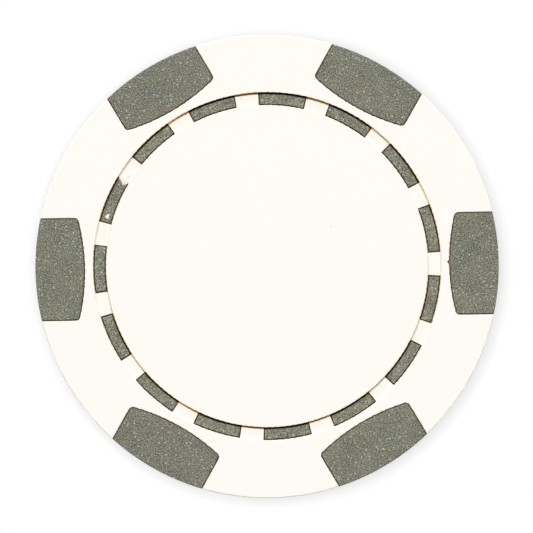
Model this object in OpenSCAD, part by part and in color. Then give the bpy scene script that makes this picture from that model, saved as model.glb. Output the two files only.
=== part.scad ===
// Moulded poker chip: a steel slug, two castellated dash rings that lie on the slug's faces,
// edge stripes that run through the whole thickness, and a white body moulded round them all.
// The chip lies flat on its back face: +Z is up, and the origin is the centre of the rim's back plane.

/* [Chip] */
// Diameter of the chip
chip_d = 39; // [36:0.5:46]
// Thickness over the two rim faces
chip_t = 3.3; // [3:0.05:4.5]
// Rounding of the two outer edges
edge_r = 0.15; // [0.1:0.05:0.8]

/* [Groove] */
// Width of the rim, from the chip's edge to the groove's floor
rim_w = 4.84; // [4:0.02:6.5]
// Width of the groove's floor
groove_w = 1.12; // [0.8:0.02:2]
// Depth of the groove's floor under the rim face
groove_depth = 0.25; // [0.1:0.05:0.4]
// Slope of the groove's walls, in degrees
groove_draft = 10; // [2:1:30]
// How far the centre disc lies under the rim face, so that a stack bears on its rims
centre_drop = 0.05; // [0.01:0.01:0.09]

/* [Edge stripes] */
// Number of edge stripes
stripe_count = 6; // [3:1:8]
// Width of a stripe between its parallel sides
stripe_w = 8.66; // [5:0.02:11]
// White land between the groove's floor and the middle of a stripe's inner end
stripe_land = 0.66; // [0.4:0.02:1.2]
// Radius of a stripe's bowed inner end
stripe_end_r = 17.3; // [10:0.1:40]
// Rounding of a stripe's two inner corners
stripe_corner_r = 0.4; // [0.1:0.05:1]

/* [Dash rings] */
// Number of dashes on each face
dash_count = 15; // [9:1:24]
// White gap between two dashes, along the middle of the groove
dash_gap = 1.92; // [1:0.02:3]
// How far a dash runs under the white on each side of the groove
dash_lap = 0.15; // [0.05:0.05:0.25]
// Seam that shrinkage leaves between a dash's top and the white lips that lap it
dash_seam = 0.02; // [0.01:0.01:0.05]
// Thickness of the ring that carries the dashes
web_t = 0.25; // [0.15:0.05:0.35]
// How far that ring runs inwards beyond its dashes
web_lap = 0.5; // [0.2:0.1:1.5]

/* [Slug] */
// Thickness of the steel slug
slug_t = 1.53; // [1:0.01:1.8]
// How far the slug's rim stands out beyond the dashes
slug_margin = 0.19; // [0.05:0.01:0.3]

/* [Hidden] */
white = "#FEFBF4";
grey = "#808072";
steel = "#B4B6B8";
// Overrun of a cutting shape past the surface that it cuts
overrun = 1;
$fn = 120;

// Plan radii, from the chip's edge inwards
chip_r = chip_d / 2;
groove_out_r = chip_r - rim_w;
groove_in_r = groove_out_r - groove_w;
dash_out_r = groove_out_r + dash_lap;
dash_in_r = groove_in_r - dash_lap;
slug_r = dash_out_r + slug_margin;
web_in_r = dash_in_r - web_lap;

// Heights of the front half, which the back half mirrors
floor_z = chip_t - groove_depth;
centre_z = chip_t - centre_drop;
slug_top = (chip_t + slug_t) / 2;

// The core is the slug with a ring's web on each face
core_h = slug_t + 2 * web_t;
core_z = (chip_t - core_h) / 2;

// Dash angles: a gap lies on the +X axis
dash_pitch = 360 / dash_count;
gap_angle = dash_gap / (groove_in_r + groove_w / 2) * 180 / PI;
dash_angle = dash_pitch - gap_angle;

// Stripe outline, on the +X axis: its inner end is an arc about bow_x, rounded into the sides
stripe_pitch = 360 / stripe_count;
half_w = stripe_w / 2;
bow_x = groove_out_r + stripe_land + stripe_end_r;
corner_y = half_w - stripe_corner_r;
corner_turn = asin(corner_y / (stripe_end_r - stripe_corner_r));
corner_x = bow_x - (stripe_end_r - stripe_corner_r) * cos(corner_turn);

function stripe_name(i) = str("edge_stripe_", i);

// Copies what follows onto the back face
module on_back() {
    translate([0, 0, chip_t]) mirror([0, 0, 1]) children();
}

// Half section of the front groove, from the centre disc's wall to the rim's wall
module groove_section() {
    slope = tan(groove_draft);
    top_z = chip_t + overrun;
    rise = top_z - floor_z;
    polygon([
        [groove_in_r, floor_z],
        [groove_out_r, floor_z],
        [groove_out_r + rise * slope, top_z],
        [groove_in_r - rise * slope, top_z]
    ]);
}

// Half section of the closed chip without its grooves and centre recesses
module rounded_section() {
    square([chip_r - edge_r, chip_t]);
    translate([0, edge_r]) square([chip_r, chip_t - 2 * edge_r]);
    for (z = [edge_r, chip_t - edge_r]) translate([chip_r - edge_r, z]) circle(edge_r);
}

// The outside of the whole chip, as one solid that the pieces are cut from
module chip_blank() {
    difference() {
        rotate_extrude() rounded_section();
        rotate_extrude() groove_section();
        on_back() rotate_extrude() groove_section();
        translate([0, 0, centre_z]) cylinder(r = groove_in_r, h = overrun);
        translate([0, 0, centre_drop - overrun]) cylinder(r = groove_in_r, h = overrun);
    }
}

// Plan of a stripe on the +X axis: parallel sides, and an inner end that bows towards the centre
module stripe_plan() {
    reach = chip_r + overrun;
    tip = 2 * stripe_end_r;
    translate([corner_x, -half_w]) square([reach - corner_x, stripe_w]);
    intersection() {
        translate([bow_x, 0]) circle(stripe_end_r);
        polygon([
            [bow_x, 0],
            [bow_x - tip * cos(corner_turn), tip * sin(corner_turn)],
            [bow_x - tip * cos(corner_turn), -tip * sin(corner_turn)]
        ]);
    }
    for (side = [-1, 1]) translate([corner_x, side * corner_y]) circle(stripe_corner_r);
}

// Room that a stripe takes: its plan through the thickness, and a hidden root that runs in to the core
module stripe_space() {
    translate([0, 0, -overrun]) linear_extrude(chip_t + 2 * overrun) stripe_plan();
    translate([groove_in_r, -half_w, core_z]) cube([chip_r - groove_in_r, stripe_w, core_h]);
}

// Stamped disc that gives the chip its weight, sealed in the middle of the thickness
module steel_slug() {
    color(steel) translate([0, 0, slug_top - slug_t]) cylinder(r = slug_r, h = slug_t);
}

// Sweeps a half section through the angle of every dash
module each_dash() {
    for (i = [0 : dash_count - 1])
        rotate(i * dash_pitch + gap_angle / 2) rotate_extrude(angle = dash_angle) children();
}

// Dashes of the front ring: they stand on the slug's face and rise to the groove's floor
module front_dashes() {
    translate([0, 0, slug_top])
        each_dash() translate([dash_in_r, 0]) square([dash_out_r - dash_in_r, floor_z - slug_top]);
}

// Front ring: a thin web on the slug's face that carries the dashes
module front_dash_ring() {
    color(grey) {
        translate([0, 0, slug_top])
            rotate_extrude() translate([web_in_r, 0]) square([slug_r - web_in_r, web_t]);
        front_dashes();
    }
}

// Back ring: the same piece, turned over
module back_dash_ring() {
    on_back() front_dash_ring();
}

// Stripe i, counted from the +X axis: shows on both faces and the edge, with its root on the core's rim
module edge_stripe(i) {
    color(grey) rotate((i - 1) * stripe_pitch) difference() {
        intersection() {
            chip_blank();
            stripe_space();
        }
        translate([0, 0, core_z]) cylinder(r = slug_r, h = core_h);
    }
}

// Room that the core takes: the slug, and both webs with the slug's rim between them
module core_space() {
    rotate_extrude() {
        translate([0, slug_top - slug_t]) square([slug_r, slug_t]);
        translate([web_in_r, core_z]) square([slug_r - web_in_r, core_h]);
    }
}

// Room that the front dashes take, up to the white lips that lap them
module dash_space() {
    each_dash() translate([dash_in_r, slug_top])
        square([dash_out_r - dash_in_r, floor_z + dash_seam - slug_top]);
}

// White body: both centre discs, the bridges between the dashes, and the rim between the stripes
module white_body() {
    color(white) difference() {
        chip_blank();
        for (i = [1 : stripe_count]) rotate((i - 1) * stripe_pitch) stripe_space();
        core_space();
        dash_space();
        on_back() dash_space();
    }
}

steel_slug();
front_dash_ring();
back_dash_ring();
for (i = [1 : stripe_count]) edge_stripe(i);
white_body();
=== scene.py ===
from math import cos, pi, radians, sin

import bpy
import numpy as np
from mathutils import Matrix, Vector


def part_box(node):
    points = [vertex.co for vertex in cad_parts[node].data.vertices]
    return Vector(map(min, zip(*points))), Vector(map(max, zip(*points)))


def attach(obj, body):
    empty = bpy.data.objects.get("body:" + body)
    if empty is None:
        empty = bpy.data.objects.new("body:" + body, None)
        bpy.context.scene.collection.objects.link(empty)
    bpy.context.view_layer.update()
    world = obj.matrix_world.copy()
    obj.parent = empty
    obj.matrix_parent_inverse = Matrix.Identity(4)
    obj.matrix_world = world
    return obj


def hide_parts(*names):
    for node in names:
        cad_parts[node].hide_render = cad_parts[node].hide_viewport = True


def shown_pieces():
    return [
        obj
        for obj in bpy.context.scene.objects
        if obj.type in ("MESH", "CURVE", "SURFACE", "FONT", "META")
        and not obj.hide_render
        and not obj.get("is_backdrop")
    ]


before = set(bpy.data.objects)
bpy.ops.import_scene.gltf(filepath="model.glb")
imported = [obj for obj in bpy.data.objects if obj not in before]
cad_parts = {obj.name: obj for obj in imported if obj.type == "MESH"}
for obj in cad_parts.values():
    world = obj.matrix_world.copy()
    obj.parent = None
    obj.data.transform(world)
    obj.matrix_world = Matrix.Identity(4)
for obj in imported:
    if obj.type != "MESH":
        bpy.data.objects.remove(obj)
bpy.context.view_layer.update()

# Steel slug
# A disc punched from rolled mild steel sheet, which gives the chip its weight.
# The two dash rings lie on its faces and the white plastic is moulded round it, so it is sealed in.
mm = 0.001  # the chip's sizes are in millimetres, and its meshes in metres
slug_low, slug_high = [np.array(corner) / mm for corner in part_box("steel_slug")]
slug_r = slug_high[0]
slug_bottom = slug_low[2]
slug_top = slug_high[2]


def linear(hex_colour):
    """sRGB hex to linear RGBA: the piecewise sRGB curve undone on each channel."""
    srgb = np.array([int(hex_colour[i:i + 2], 16) for i in (1, 3, 5)]) / 255
    rgb = np.where(srgb <= 0.04045, srgb / 12.92, ((srgb + 0.055) / 1.055) ** 2.4)
    return (*rgb, 1.0)


def add(tree, kind, inputs=None, **settings):
    """Adds a node: settings are its properties, inputs its sockets, each a value or an output to link."""
    node = tree.nodes.new(kind)
    for name, value in settings.items():
        setattr(node, name, value)
    for name, value in (inputs or {}).items():
        socket = node.inputs[name]
        if isinstance(value, bpy.types.NodeSocket):
            tree.links.new(value, socket)
        else:
            socket.default_value = value
    return node.outputs


def new_material(name):
    """An empty node material and its tree."""
    material = bpy.data.materials.new(name)
    material.use_nodes = True
    material.node_tree.nodes.clear()
    return material, material.node_tree


# Cold-rolled mild steel: dull bright metal with fine drawn lines along the rolling direction.
# The lines are drawn coarser than real ones, which are a few hundredths of a millimetre wide.
rolling_line = 0.15
line_stretch = 40
line_depth = 0.01
rolled_steel, tree = new_material("rolled_mild_steel_sheet")
place = add(tree, "ShaderNodeTexCoord")["Object"]
stretch = (1 / (line_stretch * rolling_line * mm), 1 / (rolling_line * mm), 1 / (rolling_line * mm))
along = add(tree, "ShaderNodeMapping", {"Vector": place, "Scale": stretch})["Vector"]
lines = add(tree, "ShaderNodeTexNoise", {"Vector": along, "Scale": 1, "Detail": 3})["Fac"]
tone = add(tree, "ShaderNodeMix", {"Factor": lines, "A": linear("#9FA1A3"), "B": linear("#C6C8CA")},
           data_type="RGBA")["Result"]
relief = add(tree, "ShaderNodeBump",
             {"Height": lines, "Strength": 0.2, "Distance": line_depth * mm})["Normal"]
steel = add(tree, "ShaderNodeBsdfPrincipled",
            {"Base Color": tone, "Metallic": 1, "Roughness": 0.38, "Normal": relief})["BSDF"]
add(tree, "ShaderNodeOutputMaterial", {"Surface": steel})
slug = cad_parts["steel_slug"]
slug.data.materials.clear()
slug.data.materials.append(rolled_steel)

# Dash rings
# Two castellated rings of grey ABS, one on each face of the slug: a thin web that carries fifteen dashes.
# They are moulded first, and the white body flows round them and leaves the dashes' tops open in its groove.
stripe_high = np.array(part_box("edge_stripe_1")[1]) / mm
chip_r = stripe_high[0]
chip_t = stripe_high[2]
ring_low, ring_high = [np.array(corner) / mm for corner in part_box("front_dash_ring")]
floor_z = ring_high[2]
web_t = 0.25
web_top = ring_low[2] + web_t
rim_w = 4.84
groove_w = 1.12
groove_out_r = chip_r - rim_w
groove_in_r = groove_out_r - groove_w
groove_mid_r = groove_in_r + groove_w / 2
dash_lap = 0.15
dash_in_r = groove_in_r - dash_lap
dash_out_r = groove_out_r + dash_lap
web_lap = 0.5
web_in_r = dash_in_r - web_lap
dash_count = 15
dash_pitch = 360 / dash_count
dash_middles = dash_pitch * (np.arange(dash_count) + 0.5)
dash_gap = 1.92
gap_angle = np.degrees(dash_gap / groove_mid_r)
dash_half = (dash_pitch - gap_angle) / 2
dash_ends = np.concatenate([dash_middles - dash_half, dash_middles + dash_half])

# The white lips creep over a dash's top. Its seam and crown are measured from the lip. The painted shade
# for a groove wall's shadow reaches on from the crown, and its share on the crown beside a wall that faces
# the front comes last.
lip_creep = 0.04
lip_in_r = groove_in_r + lip_creep
lip_out_r = groove_out_r - lip_creep
seam_w = 0.06
crown_w = 0.12
crown_drop = 0.1
shade_reach = 0.06
crown_painted_shade = 0.7

# Columns and the sharp angle are in degrees, and values closer than near count as the same.
column_step = 0.35
sharp_angle = 38
pair_lean = 1e-7
near = 1e-6
weld_digits = 5


def columns(pairs, singles):
    """Angles round the chip in degrees: even steps and the singles once, and each of the pairs twice.
    The second array leans a pair's two angles apart, so that it tells which side of the jump each is on."""
    even = np.arange(0, 360, column_step)
    angle = np.concatenate([even, singles, pairs, pairs]) % 360
    lean = np.repeat([0, -1, 1], [len(even) + len(singles), len(pairs), len(pairs)]) * pair_lean
    order = np.argsort(angle + lean)
    return angle[order], (angle + lean)[order]


def from_middle(angle, pitch, middle):
    """Signed angle to the nearest of the middles that repeat at the pitch."""
    return (angle - middle + pitch / 2) % pitch - pitch / 2


def grid_faces(rows, across, closed_across):
    """Quads of a grid: each point with the next in its row and the two above. The last row meets the
    first, and the last column does too where asked."""
    j, i = np.meshgrid(np.arange(rows), np.arange(across if closed_across else across - 1), indexing="ij")
    up, on = (j + 1) % rows, (i + 1) % across
    quads = np.stack([j * across + i, j * across + on, up * across + on, up * across + i], -1)
    return quads.reshape(-1, 4)


def put_piece(name, points, quads, material, replaced=(), caps=(), dirt_and_painted_shade=None):
    """Welds a grid of points, in millimetres, into one closed mesh: points that coincide become one,
    quads that collapse become triangles or go, and two faces that lie back to back cancel. Caps are the
    faces that close an open grid's ends, and the last argument is each point's seam dirt and painted shade,
    kept as a point attribute."""
    points = points.reshape(-1, 3)
    rounded = np.round(points, weld_digits)
    first, welded = np.unique(rounded, axis=0, return_index=True, return_inverse=True)[1:]
    welded = welded.reshape(-1)
    quads = welded[quads]
    repeated = quads == np.roll(quads, -1, axis=1)
    pinched = repeated.sum(axis=1)
    whole = quads[pinched == 0]
    triangles = quads[pinched == 1][~repeated[pinched == 1]].reshape(-1, 3)
    kept = []
    for group in (whole, triangles):
        corners = np.sort(group, axis=1)
        back, count = np.unique(corners, axis=0, return_inverse=True, return_counts=True)[1:]
        kept += group[count[back.reshape(-1)] == 1].tolist()
    kept += [welded[cap].tolist() for cap in caps]
    mesh = bpy.data.meshes.new(name)
    mesh.from_pydata(points[first] * mm, [], kept)
    if dirt_and_painted_shade is not None:
        seam_dirt_and_shade = mesh.attributes.new("seam_dirt_and_shade", "FLOAT", "POINT")
        seam_dirt_and_shade.data.foreach_set("value", dirt_and_painted_shade.reshape(-1)[first])
    mesh.shade_smooth()
    mesh.set_sharp_from_angle(angle=radians(sharp_angle))
    mesh.materials.append(material)
    piece = bpy.data.objects.new(name, mesh)
    bpy.context.scene.collection.objects.link(piece)
    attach(piece, "root")
    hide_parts(*replaced)


def turned(radius, angle, height):
    """Points at a radius and an angle in degrees round the chip's axis, at a height."""
    turn = np.radians(angle)
    return np.stack([radius * np.cos(turn), radius * np.sin(turn), height], -1)


# Warm grey ABS, moulded with a pale fleck: a salt-and-pepper grain about as fine as the render can show,
# scattered light specks, and a faint drift of tone and colour. A point attribute gives the dirt in its
# seams, brown at 1, and painted shade for a groove wall's shadow on the dash rings, towards black at 2.
grain_size = 0.11
grain_depth = 0.02
cloud_size = 1.4
cloud_weight = 0.12
darkest_grain = 0.406
palest_grain = 0.896
drift_size = 0.9
drift_weight = 0.12
fleck_spacing = 0.29
fleck_size = 0.085


def flecked_grey(name, dark, pale):
    """The grey plastic between a dark and a pale tone of its grain."""
    material, tree = new_material(name)
    place = add(tree, "ShaderNodeTexCoord")["Object"]
    grain = add(tree, "ShaderNodeTexNoise",
                {"Vector": place, "Scale": 1 / (grain_size * mm), "Detail": 1, "Roughness": 0.7})["Fac"]
    cloud = add(tree, "ShaderNodeTexNoise",
                {"Vector": place, "Scale": 1 / (cloud_size * mm), "Detail": 1})["Fac"]
    clouded = add(tree, "ShaderNodeMath", {0: cloud, 1: cloud_weight, 2: grain},
                  operation="MULTIPLY_ADD")["Value"]
    level = add(tree, "ShaderNodeMapRange",
                {"Value": clouded, "From Min": darkest_grain, "From Max": palest_grain})["Result"]
    tone = add(tree, "ShaderNodeMix", {"Factor": level, "A": linear(dark), "B": linear(pale)},
               data_type="RGBA")["Result"]
    drift = add(tree, "ShaderNodeTexNoise",
                {"Vector": place, "Scale": 1 / (drift_size * mm), "Detail": 1})["Color"]
    tone = add(tree, "ShaderNodeMix", {"Factor": drift_weight, "A": tone, "B": drift},
               data_type="RGBA", blend_type="OVERLAY")["Result"]
    cell = add(tree, "ShaderNodeTexVoronoi", {"Vector": place, "Scale": 1 / (fleck_spacing * mm)})
    reach = add(tree, "ShaderNodeMapRange",
                {"Value": cell["Distance"], "From Max": fleck_size / fleck_spacing,
                 "To Min": 1, "To Max": 0})["Result"]
    chance = add(tree, "ShaderNodeSeparateColor", {"Color": cell["Color"]})["Red"]
    fleck = add(tree, "ShaderNodeMath", {0: reach, 1: chance}, operation="MULTIPLY")["Value"]
    tone = add(tree, "ShaderNodeMix", {"Factor": fleck, "A": tone, "B": linear("#F0F0E4")},
               data_type="RGBA")["Result"]
    seam_dirt_and_shade = add(tree, "ShaderNodeAttribute", attribute_name="seam_dirt_and_shade")["Fac"]
    # Brown is the seams' dirt; the way to black, and the brown on a dash's crown, is painted shade for a
    # groove wall's shadow.
    for step, colour in enumerate(("#442E02", "#0C0804")):
        share = add(tree, "ShaderNodeMapRange",
                    {"Value": seam_dirt_and_shade, "From Min": step, "From Max": step + 1})["Result"]
        tone = add(tree, "ShaderNodeMix", {"Factor": share, "A": tone, "B": linear(colour)},
                   data_type="RGBA")["Result"]
    relief = add(tree, "ShaderNodeBump",
                 {"Height": grain, "Strength": 0.25, "Distance": grain_depth * mm})["Normal"]
    grey = add(tree, "ShaderNodeBsdfPrincipled",
               {"Base Color": tone, "Roughness": 0.6, "IOR": 1.53, "Specular IOR Level": 0.2,
                "Normal": relief})["BSDF"]
    add(tree, "ShaderNodeOutputMaterial", {"Surface": grey})
    return material


# The dashes show a shade paler than the stripes.
dash_grey = flecked_grey("warm_grey_abs_moulded_flecked_pale", "#504F46", "#BCBBA6")


def dash_ring(name, on_back):
    """A closed section carried round the axis: the web all the way, and above it the dash, whose rows
    drop on to the web between the dash ends. The dash's top is crowned, so its border lies lower and holds
    grime. Beside a wall that faces the front, by the sine of its angle, painted shade for the wall's shadow
    darkens the border to black and reaches the crown: that is the outer wall at the back of the chip, and
    the inner wall at its front, both turned away from the key strip."""
    end_seam, end_crown = np.degrees(np.array([seam_w, crown_w]) / groove_in_r)
    end_columns = np.concatenate([dash_middles + side * (dash_half - inset)
                                  for side in (-1, 1) for inset in (end_seam, end_crown)])
    angle, probe = columns(dash_ends, end_columns)
    off_middle = np.abs(from_middle(probe, dash_pitch, dash_pitch / 2))
    in_dash = off_middle < dash_half
    crowned = off_middle < dash_half - end_crown + near
    border = floor_z - crown_drop
    section = [
        (web_in_r, slug_top, 0),
        (slug_r, slug_top, 0),
        (slug_r, web_top, 0),
        (dash_out_r, web_top, 0),
        (dash_out_r, border, 1),
        (lip_out_r - seam_w, border, 1),
        (lip_out_r - crown_w, floor_z, 0),
        (lip_out_r - crown_w - shade_reach, floor_z, 0),
        (lip_in_r + crown_w + shade_reach, floor_z, 0),
        (lip_in_r + crown_w, floor_z, 0),
        (lip_in_r + seam_w, border, 1),
        (dash_in_r, border, 1),
        (dash_in_r, web_top, 0),
        (web_in_r, web_top, 0),
    ]
    radius, height, dirt_and_painted_shade = [np.array(part, float)[:, None] for part in zip(*section)]
    # Painted shade: the wall's shadow, darkening the border and crown beside a wall that faces the front.
    facing = np.sin(np.radians(angle))
    sheltered = np.where(radius > groove_mid_r, np.clip(facing, 0, 1), np.clip(-facing, 0, 1))
    on_crown = (radius == lip_out_r - crown_w) | (radius == lip_in_r + crown_w)
    dirt_and_painted_shade = np.where(on_crown, crown_painted_shade * sheltered, dirt_and_painted_shade * (1 + sheltered))
    dash_z = np.where(crowned, height, np.minimum(height, border))
    height = np.where(in_dash, dash_z, np.minimum(height, web_top))
    at_end = ~crowned & (height > web_top)
    dirt_and_painted_shade = np.maximum(dirt_and_painted_shade, at_end)
    points = turned(*np.broadcast_arrays(radius, angle), height)
    quads = grid_faces(*height.shape, closed_across=True)
    if on_back:
        points = points * (1, 1, -1) + (0, 0, chip_t)
        quads = quads[:, ::-1]
    put_piece(name, points, quads, dash_grey, [name.replace("_moulding", "")], dirt_and_painted_shade=dirt_and_painted_shade)


dash_ring("front_dash_ring_moulding", on_back=False)
dash_ring("back_dash_ring_moulding", on_back=True)

# Edge stripes
# Six blocks of the same grey ABS that run through the whole thickness and show on both faces and the edge.
# Each has parallel sides, an inner end that bows towards the centre, and a hidden root on the core's rim.
stripe_count = 6
stripe_pitch = 360 / stripe_count
stripe_middles = stripe_pitch * np.arange(stripe_count)
stripe_w = 8.66
half_w = stripe_w / 2
stripe_end_r = 17.3
corner_r = 0.4
land_w = 0.66
bow_x = groove_out_r + land_w + stripe_end_r
corner_y = half_w - corner_r
corner_turn = np.degrees(np.arcsin(corner_y / (stripe_end_r - corner_r)))
corner_x = bow_x - (stripe_end_r - corner_r) * cos(radians(corner_turn))
corner_out = np.hypot(corner_x, corner_y)
side_half = np.degrees(np.arctan2(corner_y, corner_x) + np.arcsin(corner_r / corner_out))
root_low = chip_t - web_top
root_high = web_top
edge_r = 0.1

# A stripe's border sinks towards its seam, and on the edge only by a share of that.
seam_drop = 0.06
border_share = 0.6
border_drop = border_share * seam_drop
border_w = 0.09
edge_share = 0.3

# The inner ends' waver, as waves round the chip and their phases, and the nib on the first stripe.
end_waver = 0.012
end_waves = ((151, 0), (263, 1))
nib_angle = 0.5
nib_half = 0.7
nib_height = 0.2

# Rows and columns: a supporting row keeps the face flat beside a bend, columns are even in the middle and
# closer at the corners, and widths along a side become angles at the side's own radius.
support = 0.03
bow_points = 60
corner_points = 30
rim_flat_r = (17.2, 18.2)
under_root = 0.1
over_middle = 0.06
edge_rows = 9
even_half = 14
corner_from = 14.2
corner_columns = 6
side_r = 17
stripe_grey = flecked_grey("warm_grey_abs_moulded_flecked", "#484840", "#B2B29E")


def inner_end(angle):
    """Radius of the stripes' inner ends at angles round the chip: the bow's arc and its two corner arcs,
    met by a ray from the centre, with the moulded edge's slight waver and one small nib on the first."""
    off_axis = np.abs(from_middle(angle, stripe_pitch, 0))
    bow_turn = np.linspace(0, corner_turn, bow_points)
    corner_end = np.linspace(corner_turn, 90 - side_half, corner_points)
    x = np.concatenate([bow_x - stripe_end_r * np.cos(np.radians(bow_turn)),
                        corner_x - corner_r * np.cos(np.radians(corner_end))])
    y = np.concatenate([stripe_end_r * np.sin(np.radians(bow_turn)),
                        corner_y + corner_r * np.sin(np.radians(corner_end))])
    radius = np.interp(off_axis, np.degrees(np.arctan2(y, x)), np.hypot(x, y))
    waver = end_waver * sum(np.sin(radians(1) * waves * angle + phase) for waves, phase in end_waves)
    nib = nib_height * np.clip(1 - np.abs(from_middle(angle, 360, nib_angle)) / nib_half, 0, 1)
    return radius + np.where(off_axis < side_half, waver - nib, 0)


def fanned(angle, radius):
    """Angles of the columns at a radius: they fan so that the columns at a stripe's corners follow its
    parallel sides, at the angle whose sine is the half width over the radius, and the rest spread evenly."""
    off_axis = from_middle(angle, stripe_pitch, 0)
    side = np.degrees(np.arcsin(half_w / radius))
    inside = off_axis * side / side_half
    spread = (stripe_pitch / 2 - side) / (stripe_pitch / 2 - side_half)
    outside = np.sign(off_axis) * (stripe_pitch / 2 - (stripe_pitch / 2 - np.abs(off_axis)) * spread)
    return angle - off_axis + np.where(np.abs(off_axis) <= side_half + near, inside, outside)


def rim_rows():
    """Radii, heights and outward slopes along the rim: its flat face, a quarter circle round the edge, and
    the upright edge down to mid thickness."""
    flat_r = np.array([*rim_flat_r, chip_r - edge_r - support])
    bend = np.radians(np.linspace(0, 90, edge_rows))
    radius = np.concatenate([flat_r, chip_r - edge_r + edge_r * np.sin(bend), [chip_r, chip_r]])
    height = np.concatenate([flat_r * 0 + chip_t, chip_t - edge_r + edge_r * np.cos(bend),
                             [root_high - under_root, chip_t / 2 + over_middle]])
    lean = np.concatenate([flat_r * 0, bend, [pi / 2, pi / 2]])
    return radius, height, lean


def edge_stripe(number):
    """A closed section carried across the stripe: top face, edge, bottom face, inner end and root.
    The border rows and columns lie a little lower than the face, and a flat face closes each side."""
    middle = stripe_pitch * (number - 1)
    fine, seam_side = side_half - np.degrees(np.array([crown_w, border_w]) / side_r)
    local = np.concatenate([[-side_half, -seam_side],
                            np.linspace(-fine, -corner_from, corner_columns),
                            np.arange(-even_half, even_half + near, column_step),
                            np.linspace(corner_from, fine, corner_columns),
                            [seam_side, side_half]])
    angle = middle + local
    drop = np.interp(np.abs(local), [fine, seam_side, side_half], [0, border_drop, seam_drop])
    at_side = (drop > 0) * 1.0
    end_r = inner_end(angle)
    rim_r, rim_z, lean = rim_rows()
    front_r = [slug_r + 0 * end_r, end_r]
    front_z = [root_high + 0 * end_r, root_high + 0 * end_r]
    dirt_and_painted_shade = [0 * end_r, 0 * end_r]
    border = ((0, seam_drop, 1), (border_w, border_drop, 1), (crown_w, 0, 0), (crown_w + support, 0, 0))
    for inwards, sunk, grimy in border:
        front_r.append(end_r + inwards)
        front_z.append(chip_t - np.maximum(sunk, drop))
        dirt_and_painted_shade.append(np.maximum(grimy, at_side))
    front_r += [r - edge_share * drop * np.sin(a) for r, a in zip(rim_r, lean)]
    front_z += [z - drop * np.cos(a) for z, a in zip(rim_z, lean)]
    dirt_and_painted_shade += [at_side] * len(rim_r)
    front_r, front_z, dirt_and_painted_shade = np.array(front_r), np.array(front_z), np.array(dirt_and_painted_shade)
    radius = np.concatenate([front_r, front_r[::-1]])
    height = np.concatenate([front_z, chip_t - front_z[::-1]])
    dirt_and_painted_shade = np.concatenate([dirt_and_painted_shade, dirt_and_painted_shade[::-1]])
    off_end = (radius > end_r + crown_w + support + near) | (radius == slug_r)
    points = turned(radius, np.where(off_end, fanned(angle, radius), angle), height)
    rows, across = height.shape
    quads = grid_faces(rows, across, closed_across=False)[:, ::-1]
    starts = np.arange(rows) * across
    name = f"edge_stripe_{number}"
    put_piece(name + "_moulding", points, quads, stripe_grey, [name],
              caps=[starts[::-1], starts + across - 1], dirt_and_painted_shade=dirt_and_painted_shade)


for number in range(1, stripe_count + 1):
    edge_stripe(number)

# White body
# Cream-white ABS, the last shot: two centre discs, the bridges between the dashes and the rim.
# It is moulded round the slug, rings and stripes, and its laps over the dashes and webs hold them all.
centre_drop = 0.05
disc_rows_r = (0, 5, 9.5, 12.5)
groove_draft = 10
brow_r = 0.03
brow_rows = 4
lip_seam = 0.02
white_bevel = 0.02
corner_clear = 0.05
wall_waves = ((0.01, 173, 0), (0.008, 311, 2))

# Painted shade in the groove, which stands for the walls' shadow from the key strip, in steps: tan at 1,
# brown at 2 and black at 3. The first list of each pair is how far a wall faces the front, from -1 to 1,
# and the second is the painted shade on it, in a gap and beside a dash. The fades follow a wall from its
# brow, over its foot, to the shade's edge on the floor.
gap_painted_shade = ([-0.6, 0, 0.75, 1], [0, 0.15, 0.62, 2])
dash_painted_shade = ([-0.6, 0, 0.5, 1], [0, 0.3, 2.2, 3])
gap_fade = np.array([0.3, 0.55, 0.85, 1, 1, 1, 0])[:, None]
dash_fade = np.array([0, 0.25, 0.8, 1, 1, 1, 1])[:, None]
# A faint painted shade on the floor beside a wall that faces the back, against the light the wall throws
# there.
lit_floor_fade = np.array([1, 1, 1, 1, 1, 1, 0.42])[:, None]
lit_floor_painted_shade = 0.11
shade_floor_w = 0.14

# Cream-white ABS from a spark-eroded mould: almost matt, with a fine orange-peel that is drawn coarser than
# the real one, a hardly visible cloudiness and a few stray tan specks. On the groove's walls that face the
# front, away from the key strip, painted shade stands for their shadow, tan in the gaps and black beside the
# dashes, and beside the other walls a faint painted shade lies on the floor.
peel_size = 0.16
peel_depth = 0.01
haze_size = 2.5
speck_spacing = 3.4
speck_size = 0.11
cream_white, tree = new_material("cream_white_abs_moulded_matt")
place = add(tree, "ShaderNodeTexCoord")["Object"]
peel = add(tree, "ShaderNodeTexNoise",
           {"Vector": place, "Scale": 1 / (peel_size * mm), "Detail": 2})["Fac"]
haze = add(tree, "ShaderNodeTexNoise",
           {"Vector": place, "Scale": 1 / (haze_size * mm), "Detail": 3})["Fac"]
tone = add(tree, "ShaderNodeMix", {"Factor": haze, "A": linear("#FAF8F1"), "B": linear("#FBF9F4")},
           data_type="RGBA")["Result"]
cell = add(tree, "ShaderNodeTexVoronoi", {"Vector": place, "Scale": 1 / (speck_spacing * mm)})
reach = add(tree, "ShaderNodeMapRange",
            {"Value": cell["Distance"], "From Max": speck_size / speck_spacing,
             "To Min": 1, "To Max": 0})["Result"]
chance = add(tree, "ShaderNodeSeparateColor", {"Color": cell["Color"]})["Red"]
speck = add(tree, "ShaderNodeMath", {0: reach, 1: chance}, operation="MULTIPLY")["Value"]
tone = add(tree, "ShaderNodeMix", {"Factor": speck, "A": tone, "B": linear("#D9C3A0")},
           data_type="RGBA")["Result"]
groove_painted_shade = add(tree, "ShaderNodeAttribute", attribute_name="seam_dirt_and_shade")["Fac"]
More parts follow.
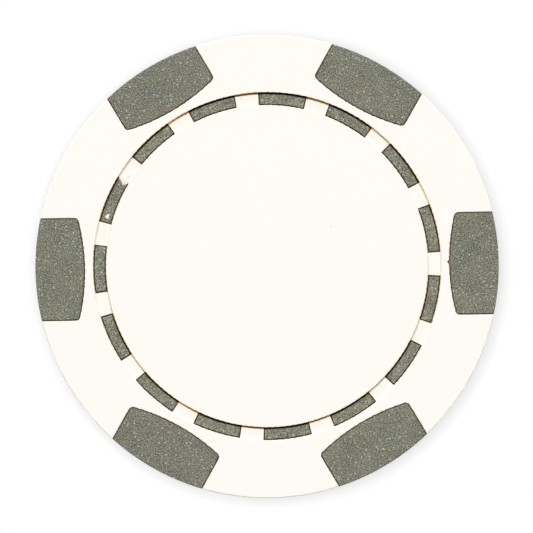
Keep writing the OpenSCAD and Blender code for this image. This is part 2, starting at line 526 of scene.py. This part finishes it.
# Tan, brown and black are painted shade for the groove walls' shadow.
for step, colour in enumerate(("#EFBE50", "#96681C", "#0C0804")):
    share = add(tree, "ShaderNodeMapRange",
                {"Value": groove_painted_shade, "From Min": step, "From Max": step + 1})["Result"]
    tone = add(tree, "ShaderNodeMix", {"Factor": share, "A": tone, "B": linear(colour)},
               data_type="RGBA")["Result"]
relief = add(tree, "ShaderNodeBump",
             {"Height": peel, "Strength": 0.12, "Distance": peel_depth * mm})["Normal"]
white = add(tree, "ShaderNodeBsdfPrincipled",
            {"Base Color": tone, "Roughness": 0.65, "IOR": 1.53, "Specular IOR Level": 0.12,
             "Normal": relief})["BSDF"]
add(tree, "ShaderNodeOutputMaterial", {"Surface": white})


def white_body():
    """A closed section carried round the axis, from the top's centre out, round the edge, back to the
    bottom's centre, and along the room for the slug and webs. Over a dash the groove's floor drops to the
    web, so that floor and room cancel into a window. At a stripe the rim closes up on to its inner end."""
    sides = np.concatenate([stripe_middles - side_half, stripe_middles + side_half])
    bevel_half = side_half + np.degrees(white_bevel / side_r)
    bevels = np.concatenate([stripe_middles - bevel_half, stripe_middles + bevel_half])
    corner_turns = np.linspace(corner_from, side_half - corner_clear, corner_columns)
    corners = np.concatenate([stripe_middles + side * turn for side in (-1, 1) for turn in corner_turns])
    angle, probe = columns(np.concatenate([dash_ends, sides]), np.concatenate([bevels, corners]))
    in_dash = np.abs(from_middle(probe, dash_pitch, dash_pitch / 2)) < dash_half
    off_axis = np.abs(from_middle(probe, stripe_pitch, 0))
    in_stripe = off_axis < side_half
    at_seam = off_axis < side_half + near
    end_r = np.where(at_seam, inner_end(angle), inner_end(side_half))
    seam_bevel = np.where(at_seam, white_bevel, 0)
    one = np.ones_like(angle)

    # Centre disc, and the groove from its inner brow over the floor or window to its outer brow.
    centre_z = chip_t - centre_drop
    slope = np.tan(np.radians(groove_draft))
    bend = np.radians(np.linspace(0, 90 - groove_draft, brow_rows))
    waver = sum(size * np.sin(radians(1) * waves * angle + phase) for size, waves, phase in wall_waves)
    disc_r = lip_in_r - (centre_z - floor_z) * slope
    rim_in_r = lip_out_r + (chip_t - floor_z) * slope
    foot_in = lip_in_r + waver
    foot_out = lip_out_r - waver
    lip_z = np.where(in_dash, floor_z + lip_seam, floor_z)
    bed_z = np.where(in_dash, web_top, floor_z)
    rows = [(r * one, centre_z * one) for r in disc_rows_r]
    rows.append((disc_r + waver - brow_r - support, centre_z * one))
    # The rows from here to the rim's brow carry the groove's painted shade.
    shade_rows_from = len(rows)
    rows += [(disc_r + waver + brow_r * (np.sin(a) - 1), (centre_z - brow_r + brow_r * np.cos(a)) * one)
             for a in bend]
    rows += [(foot_in, floor_z * one),
             (np.where(in_dash, dash_in_r, foot_in), lip_z),
             (np.where(in_dash, dash_in_r, foot_in + shade_floor_w), bed_z),
             (np.where(in_dash, dash_out_r, foot_out - shade_floor_w), bed_z),
             (np.where(in_dash, dash_out_r, foot_out), lip_z),
             (foot_out, floor_z * one)]
    rows += [(rim_in_r - waver + brow_r * (1 - np.sin(a)), (chip_t - brow_r + brow_r * np.cos(a)) * one)
             for a in bend[::-1]]
    shade_rows_to = len(rows)
    rows.append((rim_in_r - waver + brow_r + support, chip_t * one))

    # Rim, which at a stripe ends at the stripe's inner end, and the edge down to mid thickness.
    rows += [(end_r - white_bevel - support, chip_t * one),
             (end_r - white_bevel, chip_t * one),
             (end_r, chip_t - seam_bevel)]
    rim_r, rim_z, lean = rim_rows()
    rows += [(np.where(in_stripe, end_r, r - seam_bevel * np.sin(a)),
              np.where(in_stripe, root_high, z - seam_bevel * np.cos(a)))
             for r, z, a in zip(rim_r[:-1], rim_z[:-1], lean[:-1])]
    rows.append((np.where(in_stripe, slug_r, rim_r[-1] - seam_bevel),
                 np.where(in_stripe, root_high, rim_z[-1])))

    # The lower half, and the room inside.
    half_rows = len(rows)
    rows += [(r, chip_t - z) for r, z in rows[::-1]]
    room = [(0, slug_bottom), (web_in_r, slug_bottom), (web_in_r, root_low), (dash_in_r, root_low),
            (dash_out_r, root_low), (slug_r, root_low)]
    rows += [(r * one, z * one) for r, z in room]
    rows += [(r * one, (chip_t - z) * one) for r, z in room[::-1]]
    radius, height = [np.array(part) for part in zip(*rows)]

    # Painted shade for the walls' shadow on the inner and the outer wall, alike on both faces, and a faint
    # painted shade on the floor beside a wall that faces the back.
    facing = np.sin(np.radians(angle)) * np.array([-1, 1])[:, None]
    share = np.where(in_dash, np.interp(facing, *dash_painted_shade), np.interp(facing, *gap_painted_shade))
    lit_floor_shade = np.where(in_dash, 0, lit_floor_painted_shade * np.clip(-facing, 0, 1))
    fade = np.where(in_dash, dash_fade, gap_fade)
    inner_wall, outer_wall = [fade * share[side] + lit_floor_fade * lit_floor_shade[side] for side in (0, 1)]
    dirt_and_painted_shade = np.zeros_like(radius)
    dirt_and_painted_shade[shade_rows_from:shade_rows_to] = np.concatenate([inner_wall, outer_wall[::-1]])
    dirt_and_painted_shade[half_rows:half_rows * 2] = dirt_and_painted_shade[:half_rows][::-1]

    on_end = np.abs(radius - end_r) < white_bevel + support + near
    fan = fanned(angle, np.maximum(radius, slug_r))
    points = turned(radius, np.where((radius > slug_r - near) & ~on_end, fan, angle), height)
    quads = grid_faces(*height.shape, closed_across=True)[:, ::-1]
    put_piece("white_body_moulding", points, quads, cream_white, ["white_body"], dirt_and_painted_shade=dirt_and_painted_shade)


white_body()

# Flash flecks
# Two crumbs of white flash, thin skins that the last shot left where it squeezed past a dash's end.
# They lie on the groove's floor and lap on to the dash, and are part of the white shot.
flash_up = 0.08
flash_root = 0.05
flash_columns = 48
flash_waves = ((0.14, 3, 1), (0.09, 5, 0), (0.07, 11, 2))
dome_out = np.array([0, 0.35, 0.65, 0.85, 1, 1, 0.5, 0])[:, None]
dome_up = np.array([1, 0.95, 0.8, 0.5, 0.1, 0, 0, 0])[:, None]
dome_under = np.array([0, 0, 0, 0, 0, 1, 1, 1])[:, None]


def flash_fleck(angle, radius, along, across):
    """A low dome on a ragged oval: rings from its top out to its border and back under to its root,
    with the border's reach a sum of three sine waves round it."""
    turn = np.linspace(0, 2 * pi, flash_columns, endpoint=False)
    ragged = sum((size * np.sin(waves * turn + phase) for size, waves, phase in flash_waves), 1)
    out = radius + dome_out * ragged * across / 2 * np.cos(turn)
    round_chip = angle + np.degrees(dome_out * ragged * along / 2 * np.sin(turn) / radius)
    rise = dome_up * flash_up - dome_under * flash_root
    return turned(out, round_chip, floor_z + rise + 0 * out)


flecks = np.stack([flash_fleck(angle=146.9, radius=14.04, along=1.3, across=0.84),
                   flash_fleck(angle=161.8, radius=14.07, along=0.42, across=0.34)])
fleck_rows, fleck_across = flecks.shape[1:3]
dome_faces = grid_faces(fleck_rows, fleck_across, closed_across=True)[:-fleck_across]
fleck_faces = np.concatenate([dome_faces, dome_faces + fleck_rows * fleck_across])[:, ::-1]
put_piece("white_flash_flecks", flecks, fleck_faces, cream_white)

# Studio
# A pale paper floor with a glow that keeps it white, a strip light behind the chip that rakes over its
# groove, a lamp for the floor alone that draws the chip's soft shadow, and a surround, brightest low down.
floor_half = 1.5
glow_near_r = 34
glow_far_r = 72
glow_near = 0.68
glow_far = 0.5
glow_unseen = 0.1


def seen_directly(tree):
    """1 for a ray that shows the stage itself: from the camera, by gloss or through a clear piece."""
    rays = add(tree, "ShaderNodeLightPath")
    seen = rays["Is Camera Ray"]
    for kind in ("Is Glossy Ray", "Is Transmission Ray"):
        seen = add(tree, "ShaderNodeMath", {0: seen, 1: rays[kind]}, operation="MAXIMUM")["Value"]
    return seen


# White paper, matt and even: it shows as white as the glow makes it, and keeps the shadow.
floor_paper, tree = new_material("white_paper_floor")
place = add(tree, "ShaderNodeTexCoord")["Object"]
away = add(tree, "ShaderNodeVectorMath", {"Vector": place}, operation="LENGTH")["Value"]
veil = add(tree, "ShaderNodeMapRange",
           {"Value": away, "From Min": glow_near_r * mm, "From Max": glow_far_r * mm,
            "To Min": glow_near, "To Max": glow_far}, interpolation_type="SMOOTHSTEP")["Result"]
level = add(tree, "ShaderNodeMix", {"Factor": seen_directly(tree), "A": glow_unseen, "B": veil},
            data_type="FLOAT")["Result"]
glow = add(tree, "ShaderNodeEmission", {"Color": linear("#FFFFFF"), "Strength": level})["Emission"]
paper = add(tree, "ShaderNodeBsdfDiffuse", {"Color": linear("#595959")})["BSDF"]
both = add(tree, "ShaderNodeAddShader", {0: paper, 1: glow})["Shader"]
add(tree, "ShaderNodeOutputMaterial", {"Surface": both})
floor_mesh = bpy.data.meshes.new("studio_floor")
floor_mesh.from_pydata([(-floor_half, -floor_half, 0), (floor_half, -floor_half, 0),
                        (floor_half, floor_half, 0), (-floor_half, floor_half, 0)], [], [(0, 1, 2, 3)])
floor_mesh.materials.append(floor_paper)
floor = bpy.data.objects.new("studio_floor", floor_mesh)
bpy.context.scene.collection.objects.link(floor)
floor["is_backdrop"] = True

# The surround's light by height, as the upward part of a direction, and its gain towards the front.
band_low = 0.08
band_high = 0.25
low_level = 1.5
high_level = 0.04
front_most = -0.9
front_gain = 3.2
seen_level = 0.8
world = bpy.data.worlds.new("studio_surround")
world.use_nodes = True
tree = world.node_tree
tree.nodes.clear()
way = add(tree, "ShaderNodeTexCoord")["Generated"]
way = add(tree, "ShaderNodeSeparateXYZ", {"Vector": way})
by_height = add(tree, "ShaderNodeMapRange",
                {"Value": way["Z"], "From Min": band_low, "From Max": band_high,
                 "To Min": low_level, "To Max": high_level})["Result"]
by_front = add(tree, "ShaderNodeMapRange",
               {"Value": way["Y"], "From Min": front_most, "From Max": 0,
                "To Min": front_gain, "To Max": 1})["Result"]
surround = add(tree, "ShaderNodeMath", {0: by_height, 1: by_front}, operation="MULTIPLY")["Value"]
seen = seen_directly(tree)
level = add(tree, "ShaderNodeMix", {"Factor": seen, "A": surround, "B": seen_level},
            data_type="FLOAT")["Result"]
tint = add(tree, "ShaderNodeMix", {"Factor": seen, "A": linear("#FFF7EE"), "B": linear("#FFFFFF")},
           data_type="RGBA")["Result"]
sky = add(tree, "ShaderNodeBackground", {"Color": tint, "Strength": level})["Background"]
add(tree, "ShaderNodeOutputWorld", {"Surface": sky})
bpy.context.scene.world = world


def studio_lamp(name, azimuth, elevation, distance, size, watts, lit):
    """An area lamp at an azimuth from +X and a height round the chip, turned to face it, that lights only
    the objects named as lit. Its distance and size are in metres."""
    lamp = bpy.data.lights.new(name, "AREA")
    lamp.shape = "RECTANGLE"
    lamp.size, lamp.size_y = size
    lamp.energy = watts
    holder = bpy.data.objects.new(name, lamp)
    a, e = radians(azimuth), radians(elevation)
    holder.location = (distance * cos(a) * cos(e), distance * sin(a) * cos(e), distance * sin(e))
    holder.rotation_euler = (pi / 2 - e, 0, a + pi / 2)
    bpy.context.scene.collection.objects.link(holder)
    receivers = bpy.data.collections.new(name + "_receivers")
    for receiver in lit:
        receivers.objects.link(receiver)
    holder.light_linking.receiver_collection = receivers


studio_lamp("key_strip", azimuth=90, elevation=52, distance=6.0, size=(7.5, 0.75), watts=501,
            lit=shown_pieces())
studio_lamp("floor_lamp", azimuth=145, elevation=85.5, distance=1.0, size=(0.54, 0.54), watts=34,
            lit=[floor])

# The camera looks straight down, as the photograph does, a little turned and off the chip's centre.
view_w = 44.86
view_roll = 0.9
view_x = -0.05
view_y = -0.01
camera_up = 300
camera_data = bpy.data.cameras.new("camera")
camera_data.type = "ORTHO"
camera_data.ortho_scale = view_w * mm
camera = bpy.data.objects.new("camera", camera_data)
camera.location = (view_x * mm, view_y * mm, camera_up * mm)
camera.rotation_euler = (0, 0, radians(-view_roll))
bpy.context.scene.collection.objects.link(camera)
bpy.context.scene.camera = camera
bpy.context.scene.view_settings.view_transform = "Standard"
